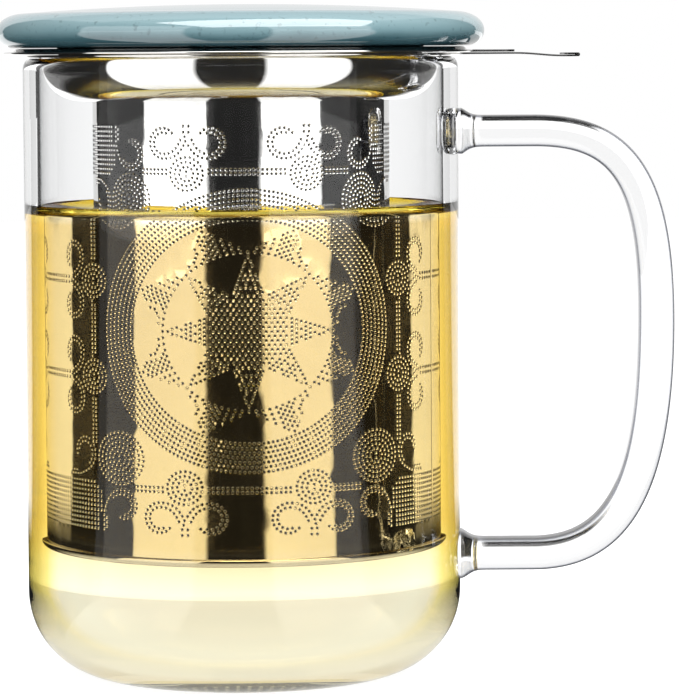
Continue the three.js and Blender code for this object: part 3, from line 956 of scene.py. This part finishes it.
LID_EDGE = 3.0
LID_SHOULDER = 3.7
LID_DOME = 1.6
LID_EDGE_WIDTH = 3.4
LID_SHOULDER_WIDTH = 5.4
LID_THICKNESS = 5.2
LID_RING_CLEARANCE = 0.7
LID_RING_WIDTH = 2.2
LID_RING_HEIGHT = 1.7
SEAT_GAP = 0.15
RECESS_CORNER = 1.5
lid_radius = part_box("lid")[1].y / MM
lid_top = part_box("lid")[1].z / MM
lid_seat = rim_high.z + SEAT_GAP
widest = lid_seat + LID_EDGE
dome_start = widest + LID_SHOULDER
dome_radius = lid_radius - LID_SHOULDER_WIDTH
ring_outer = rim_mouth - half_plate - LID_RING_CLEARANCE
ring_inner = ring_outer - LID_RING_WIDTH
ring_low = lid_seat - LID_RING_HEIGHT
ring_half = LID_RING_WIDTH / 2
recess_top = lid_top - LID_THICKNESS

# The glaze is painted dark round the low edge of the lid and pale up on the dome, by height: painted
# shade, darker where the lid turns under away from the light.
GLAZE_SHADE_TONES = [
    (0.0, (0.015, 0.04, 0.05)), (0.2, (0.035, 0.08, 0.095)), (0.42, (0.12, 0.20, 0.22)),
    (0.7, (0.19, 0.28, 0.30)), (1.0, (0.17, 0.26, 0.285)),
]
GLAZE_CLOUDS = 35
GLAZE_SPECKS = 900
GLAZE_WAVES = 55
GLAZE_WAVE_HEIGHT = 0.00003


def worked(material, operation, *values):
    """The result of a sum or comparison of values, such as ADD or GREATER_THAN."""
    return add(material, "Math", dict(enumerate(values)), operation=operation).outputs[0]


glaze = finish(
    "blue_grey_glaze", Roughness=0.04, IOR=1.8,
    Coat_Weight=0.25, Coat_Roughness=0.02, Coat_IOR=1.8
)
# Height on the lid from its seat to the dome: low on the lid the colour is painted shade.
glaze_shade_height = spread(glaze, axes(glaze)["Z"], lid_seat * MM, dome_start * MM, 0, 1)
glaze_cloud = spread(glaze, noise(glaze, GLAZE_CLOUDS, 4.0), 0.3, 0.7, -0.08, 0.08)
glaze_shaded_tone = ramp(glaze, worked(glaze, "ADD", glaze_shade_height, glaze_cloud), GLAZE_SHADE_TONES)
glaze_speck = spread(glaze, noise(glaze, GLAZE_SPECKS, 2.0), 0.62, 0.74, 1, 0.72)
wire(glaze, multiplied(glaze, glaze_shaded_tone, glaze_speck), "Base Color")
bumped(glaze, noise(glaze, GLAZE_WAVES, 2.0), GLAZE_WAVE_HEIGHT)
lid_outline = joined(
    run((0, recess_top), (ring_inner - RECESS_CORNER, recess_top), 6),
    arc(ring_inner - RECESS_CORNER, recess_top - RECESS_CORNER, RECESS_CORNER, RECESS_CORNER, 90, 0, 8),
    run((ring_inner, recess_top - RECESS_CORNER), (ring_inner, ring_low + ring_half), 2),
    arc(ring_inner + ring_half, ring_low + ring_half, ring_half, ring_half, 180, 360, 12),
    run((ring_outer, ring_low + ring_half), (ring_outer, lid_seat), 1),
    run((ring_outer + 0.3, lid_seat), (lid_radius - LID_EDGE_WIDTH, lid_seat), 3, ease=0.1),
    arc(lid_radius - LID_EDGE_WIDTH, widest, LID_EDGE_WIDTH, LID_EDGE, -90, 0, 16),
    arc(dome_radius, widest, LID_SHOULDER_WIDTH, LID_SHOULDER, 0, 90, 28),
)
dome_share = np.linspace(1, 0, 25)[1:]
dome = np.column_stack([dome_radius * dome_share, dome_start + LID_DOME * (1 - dome_share**2)])
lid = turned("lid_glazed", joined(lid_outline, dome), glaze)
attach(lid, "lid")
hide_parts("lid")

# ------------------------------------------------------------------ floor and backdrop
# A plain white floor with a white card behind it. What sees the floor straight, or through the glass,
# sees white with the object's own shadow in it. What sees it in the steel sees a painted reflection:
# glowing white sectors and dark ones painted on the floor, where a photographer would set white and
# black cards round the object.

FLOOR_REACH = 6.0
FLOOR_GREY = (0.35, 0.35, 0.35, 1)
FLOOR_GLOW = 0.88
NEAR_FLOOR = 0.045
NEAR_GLOW = 0.9
PAINTED_CARD_SECTORS = ((-78, -24), (15.5, 65))
BEHIND = 146
BEHIND_FROM = 0.24
CARD_EDGE = 1.5
CARD_GLOW = 1.5
DARK = 0.02


def stage_card(name, corners, material):
    """A flat part of the stage, which isn't part of the object."""
    mesh = bpy.data.meshes.new(name)
    mesh.from_pydata(corners, [], [(0, 1, 2, 3)])
    mesh.materials.append(material)
    card = bpy.data.objects.new(name, mesh)
    bpy.context.scene.collection.objects.link(card)
    return card


def glowing(material, strength):
    """An emission shader of that strength, which may come from another node."""
    return add(material, "Emission", {"Color": (1, 1, 1, 1), "Strength": strength}).outputs[0]


def either(material, share, shader, other):
    """The shader, or the other one as far as the share says."""
    return add(material, "MixShader", {0: share, 1: shader, 2: other}).outputs[0]


def surface(material, shader):
    """Makes the shader the material's surface."""
    output = material.node_tree.nodes["Material Output"]
    material.node_tree.links.new(shader, output.inputs["Surface"])


def has_met(material, kind):
    """1 for a ray that has met a mirror (Glossy) or glass (Transmission) on its way, or else 0."""
    return worked(material, "GREATER_THAN", add(material, "LightPath").outputs[kind + " Depth"], 0.5)


def product(material, first, *others):
    """The values multiplied with each other."""
    for other in others:
        first = worked(material, "MULTIPLY", first, other)
    return first


# The painted light that only a mirror sees: a glowing white sector where each card would stand, dark
# between them and close behind the object, and white again right under it.
floor_white = finish("floor_white")
floor_xyz = axes(floor_white)
distance = add(floor_white, "VectorMath", {0: place(floor_white)}, operation="LENGTH").outputs["Value"]
toward_front = worked(floor_white, "MULTIPLY", floor_xyz["Y"], -1.0)
bearing = worked(floor_white, "DEGREES", worked(floor_white, "ARCTAN2", floor_xyz["X"], toward_front))
round_turn = spread(floor_white, bearing, -180, 180, 0, 1)
sector_edges = [(-BEHIND, 1, 0), *[(edge, side, 1 - side) for pair in PAINTED_CARD_SECTORS
                                   for edge, side in zip(pair, (0, 1))], (BEHIND, 0, 1)]
stops = []
for edge, before, after in sector_edges:
    stops.append(((edge - CARD_EDGE / 2 + 180) / 360, (before,) * 3))
    stops.append(((edge + CARD_EDGE / 2 + 180) / 360, (after,) * 3))
at_back = spread(floor_white, floor_xyz["Y"], 0, 0.03, 0, 1)
close_by = spread(floor_white, distance, BEHIND_FROM, BEHIND_FROM + 0.1, 1, 0)
open_back = worked(floor_white, "SUBTRACT", 1.0, product(floor_white, at_back, close_by))
painted_card_share = product(floor_white, ramp(floor_white, round_turn, stops), open_back)
painted_card_light = spread(floor_white, painted_card_share, 0, 1, DARK, CARD_GLOW)
near = spread(floor_white, distance, NEAR_FLOOR, NEAR_FLOOR + 0.02, 1, 0)
feeds = {0: near, 2: painted_card_light, 3: NEAR_GLOW}
painted_mirror_light = add(floor_white, "Mix", feeds, data_type="FLOAT").outputs[0]

# A dark patch on the floor behind the handle, seen only by rays that come steeply out of glass. It
# draws the dark edges of the handle, as a strip of black card does.
PATCH_FROM = 0.04
PATCH_TO = 0.14
PATCH_GLOW = 0.04
STEEP = 0.76
STEEPER = 0.68
patch = product(
    floor_white,
    spread(floor_white, turned_away(floor_white), STEEP, STEEPER, 0, 1),
    spread(floor_white, floor_xyz["X"], PATCH_FROM, PATCH_FROM + 0.01, 0, 1),
    spread(floor_white, floor_xyz["X"], PATCH_TO, PATCH_TO + 0.01, 1, 0),
    spread(floor_white, floor_xyz["Y"], 0, 0.01, 0, 1),
    has_met(floor_white, "Transmission"),
)
lit = add(floor_white, "BsdfDiffuse", {"Color": FLOOR_GREY}).outputs[0]
white = add(floor_white, "AddShader", {0: lit, 1: glowing(floor_white, FLOOR_GLOW)}).outputs[0]
seen = either(floor_white, patch, white, glowing(floor_white, PATCH_GLOW))
# What mirrors see of the floor is painted light: the glowing and dark sectors.
painted_mirror_floor = glowing(floor_white, painted_mirror_light)
surface(floor_white, either(floor_white, has_met(floor_white, "Glossy"), seen, painted_mirror_floor))
quarters = ((-1, -1), (1, -1), (1, 1), (-1, 1))
stage_card("floor", [(x * FLOOR_REACH, y * FLOOR_REACH, 0) for x, y in quarters], floor_white)

# The card behind, and the room beyond it, which is dark in a mirror and gives a soft even light.
CARD_BEHIND = 2.2
CARD_HALF_WIDTH = 1.45
CARD_HEIGHT = 2.4
CARD_MIRRORED = 0.85
ROOM_LIGHT = 0.5
backdrop_white = finish("backdrop_white")
backdrop_light = spread(backdrop_white, has_met(backdrop_white, "Glossy"), 0, 1, 1, CARD_MIRRORED)
surface(backdrop_white, glowing(backdrop_white, backdrop_light))
backdrop_corners = ((-1, 0), (1, 0), (1, CARD_HEIGHT), (-1, CARD_HEIGHT))
stage_card(
    "backdrop", [(x * CARD_HALF_WIDTH, CARD_BEHIND, z) for x, z in backdrop_corners], backdrop_white
)

world = bpy.data.worlds.new("studio")
bpy.context.scene.world = world
world.use_nodes = True
background = world.node_tree.nodes["Background"]
background.inputs["Color"].default_value = (1, 1, 1, 1)
room_seen = spread(world, has_met(world, "Glossy"), 0, 1, 1, DARK)
is_soft = add(world, "LightPath").outputs["Is Diffuse Ray"]
room_strength = spread(world, is_soft, 0, 1, room_seen, ROOM_LIGHT)
world.node_tree.links.new(room_strength, background.inputs["Strength"])

# A grey card overhead, which only mirrors see: the upper faces of the steel reflect it.
CEILING_HEIGHT = 1.9
CEILING_FRONT = 0.1
CEILING_BACK = 2.2
CEILING_GLOW = 0.55
ceiling_grey = finish("ceiling_grey")
surface(ceiling_grey, glowing(ceiling_grey, CEILING_GLOW))
ceiling_corners = ((-1, CEILING_FRONT), (-1, CEILING_BACK), (1, CEILING_BACK), (1, CEILING_FRONT))
ceiling_card = stage_card(
    "ceiling", [(x * CARD_HALF_WIDTH, y, CEILING_HEIGHT) for x, y in ceiling_corners], ceiling_grey
)
for rays in ("camera", "diffuse", "transmission", "shadow"):
    setattr(ceiling_card, "visible_" + rays, False)

# ------------------------------------------------------------------ lamps
# Two tall softboxes stand in front, to the left and to the right, and draw the bright stripes down
# the steel. A wide one hangs high in front for the lid.

OBJECT_MIDDLE = Vector((0, 0, 0.065))
LAMP_DISTANCE = 1.9


def softbox(name, azimuth, elevation, width, height, radiance):
    """An area lamp that faces the object: its power is pi times its area times its radiance."""
    light = bpy.data.lights.new(name, "AREA")
    light.shape = "RECTANGLE"
    light.size, light.size_y = width, height
    light.energy = math.pi * width * height * radiance
    lamp = bpy.data.objects.new(name, light)
    around, up = math.radians(azimuth), math.radians(elevation)
    toward = Vector((math.sin(around) * math.cos(up), -math.cos(around) * math.cos(up), math.sin(up)))
    lamp.location = OBJECT_MIDDLE + toward * LAMP_DISTANCE
    lamp.rotation_euler = toward.to_track_quat("Z", "Y").to_euler()
    lamp.visible_camera = False
    bpy.context.scene.collection.objects.link(lamp)


softbox("softbox_left", azimuth=-51, elevation=12, width=1.9, height=1.6, radiance=1.3)
softbox("softbox_right", azimuth=40, elevation=12, width=1.7, height=1.6, radiance=1.3)
softbox("softbox_high", azimuth=24, elevation=56, width=2.8, height=2.0, radiance=4.4)

# ------------------------------------------------------------------ camera
# The camera stands level with the lid, a little to the handle's side, and looks slightly down.

FRAME_HEIGHT_PX = 694
FOCAL_PX = 4080
PITCH = 4.094
ROLL = 0.38
CAMERA_PLACE = (0.019, -0.800, 0.1215)
camera_data = bpy.data.cameras.new("camera")
camera_data.sensor_fit = "VERTICAL"
camera_data.sensor_height = 36
camera_data.lens = FOCAL_PX / FRAME_HEIGHT_PX * camera_data.sensor_height
camera = bpy.data.objects.new("camera", camera_data)
looking = Matrix.Rotation(math.radians(90 - PITCH), 3, "X")
rolled = looking @ Matrix.Rotation(math.radians(-ROLL), 3, "Z")
camera.rotation_euler = rolled.to_euler()
camera.location = CAMERA_PLACE
bpy.context.scene.collection.objects.link(camera)
bpy.context.scene.camera = camera

# A ray passes many walls of glass and tea, so it is followed over many bounces.
scene = bpy.context.scene
scene.view_settings.view_transform = "Standard"
scene.cycles.max_bounces = 32
scene.cycles.transmission_bounces = 28
scene.cycles.glossy_bounces = 12
scene.cycles.transparent_max_bounces = 16
scene.cycles.caustics_reflective = True
scene.cycles.caustics_refractive = True
scene.cycles.use_denoising = True
